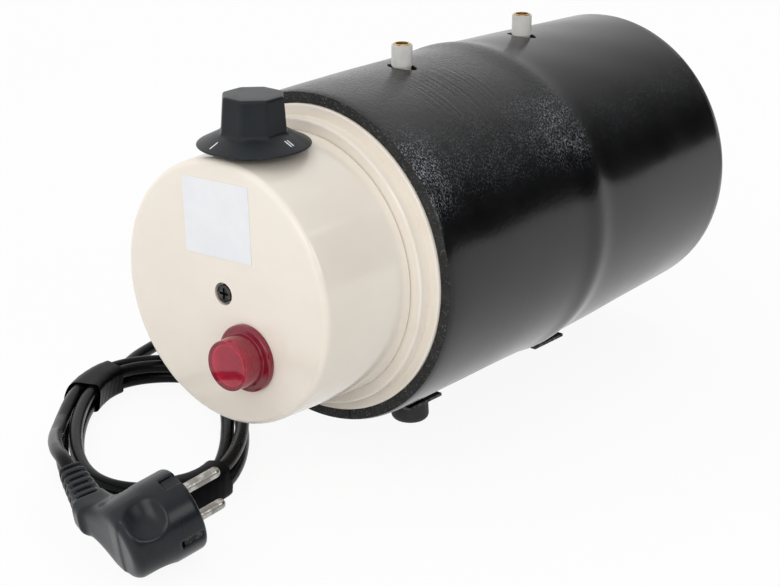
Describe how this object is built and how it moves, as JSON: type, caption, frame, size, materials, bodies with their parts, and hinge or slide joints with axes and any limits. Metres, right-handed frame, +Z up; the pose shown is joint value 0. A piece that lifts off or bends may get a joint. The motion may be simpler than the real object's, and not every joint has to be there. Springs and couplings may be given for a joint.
{
  "type": "caravan water heater",
  "caption": "Small foam-wrapped electric water heater lying on rubber feet, with a round control cover, thermostat knob, pilot lamp, hose stubs and a coiled mains lead.",
  "frame": {"origin": "bottom centre of the heater's own bounding box, cord and plug left out, on the floor under the middle of its length", "axes": "+Y along the heater's axis from the control cover towards the closed rear end, +Z up, +X to the right seen from the front"},
  "size_m": [0.2334, 0.4, 0.1838],
  "materials": {
    "foam": "black closed-cell foam with a fine skin, dull sheen",
    "cream_plastic": "moulded cream plastic, satin",
    "label": "blank white printed-film plate",
    "dark_plastic": "moulded charcoal plastic, satin",
    "lens_red": "clear red plastic",
    "white_plastic": "moulded off-white plastic",
    "clear_glass": "clear glass",
    "steel": "plated steel",
    "dark_steel": "dark coated sheet steel",
    "black_screw": "blackened steel",
    "brass": "drawn brass",
    "copper": "drawn copper",
    "grey_sleeve": "matt light grey plastic sleeve",
    "rubber": "black rubber",
    "cord_black": "smooth black flexible sheath",
    "tape_black": "black insulating tape",
    "plug_black": "moulded black plug",
    "nickel": "nickel plate",
    "wire": "insulated wire"
  },
  "bodies": {
    "heater": {"insulation_wrap": "foam", "insulation_end_disc": "foam", "tank_front_shell": "cream_plastic", "tank_rear_shell": "cream_plastic", "control_cover": "cream_plastic", "cover_screw": "black_screw", "cover_post": "brass", "rating_label": "label", "pilot_lens": "lens_red", "lamp_nut": "dark_plastic", "lamp_holder": "white_plastic", "neon_bulb": "clear_glass", "thermostat_body": "white_plastic", "thermostat_bush": "brass", "thermostat_nut": "steel", "capillary_tube": "copper", "sensor_bulb": "copper", "sensor_pocket": "brass", "element_flange": "brass", "flange_gasket": "rubber", "flange_screws": "steel", "heating_element": "steel", "element_terminals": "white_plastic", "thermal_cutout": "dark_plastic", "terminal_block": "white_plastic", "terminal_screws": "brass", "supply_cable_end": "cord_black", "internal_wires": "wire", "inlet_stub": "brass", "outlet_stub": "brass", "inlet_sleeve": "grey_sleeve", "outlet_sleeve": "grey_sleeve", "inlet_nut": "brass", "outlet_nut": "brass", "inlet_seal": "rubber", "outlet_seal": "rubber", "dip_tube": "white_plastic", "front_foot_plate": "dark_steel", "rear_foot_plate": "dark_steel", "foot_front_left": "rubber", "foot_front_right": "rubber", "foot_rear": "rubber", "foot_screws": "steel", "cable_gland": "dark_plastic", "gland_nut": "dark_plastic", "cord_lead": "cord_black", "cord_coil": "cord_black", "cord_tail": "cord_black", "coil_tape_far": "tape_black", "coil_tape_near": "tape_black", "plug_body": "plug_black", "plug_pins": "nickel", "plug_earth_clips": "nickel"},
    "knob": {"knob": "dark_plastic", "thermostat_spindle": "steel"}
  },
  "joints": [
    {"name": "knob_turn", "type": "hinge", "parent": "heater", "child": "knob", "pos_m": [0, -0.123, 0.1655], "axis": [0, 0, 1], "range_deg": [-133, 133]}
  ]
}
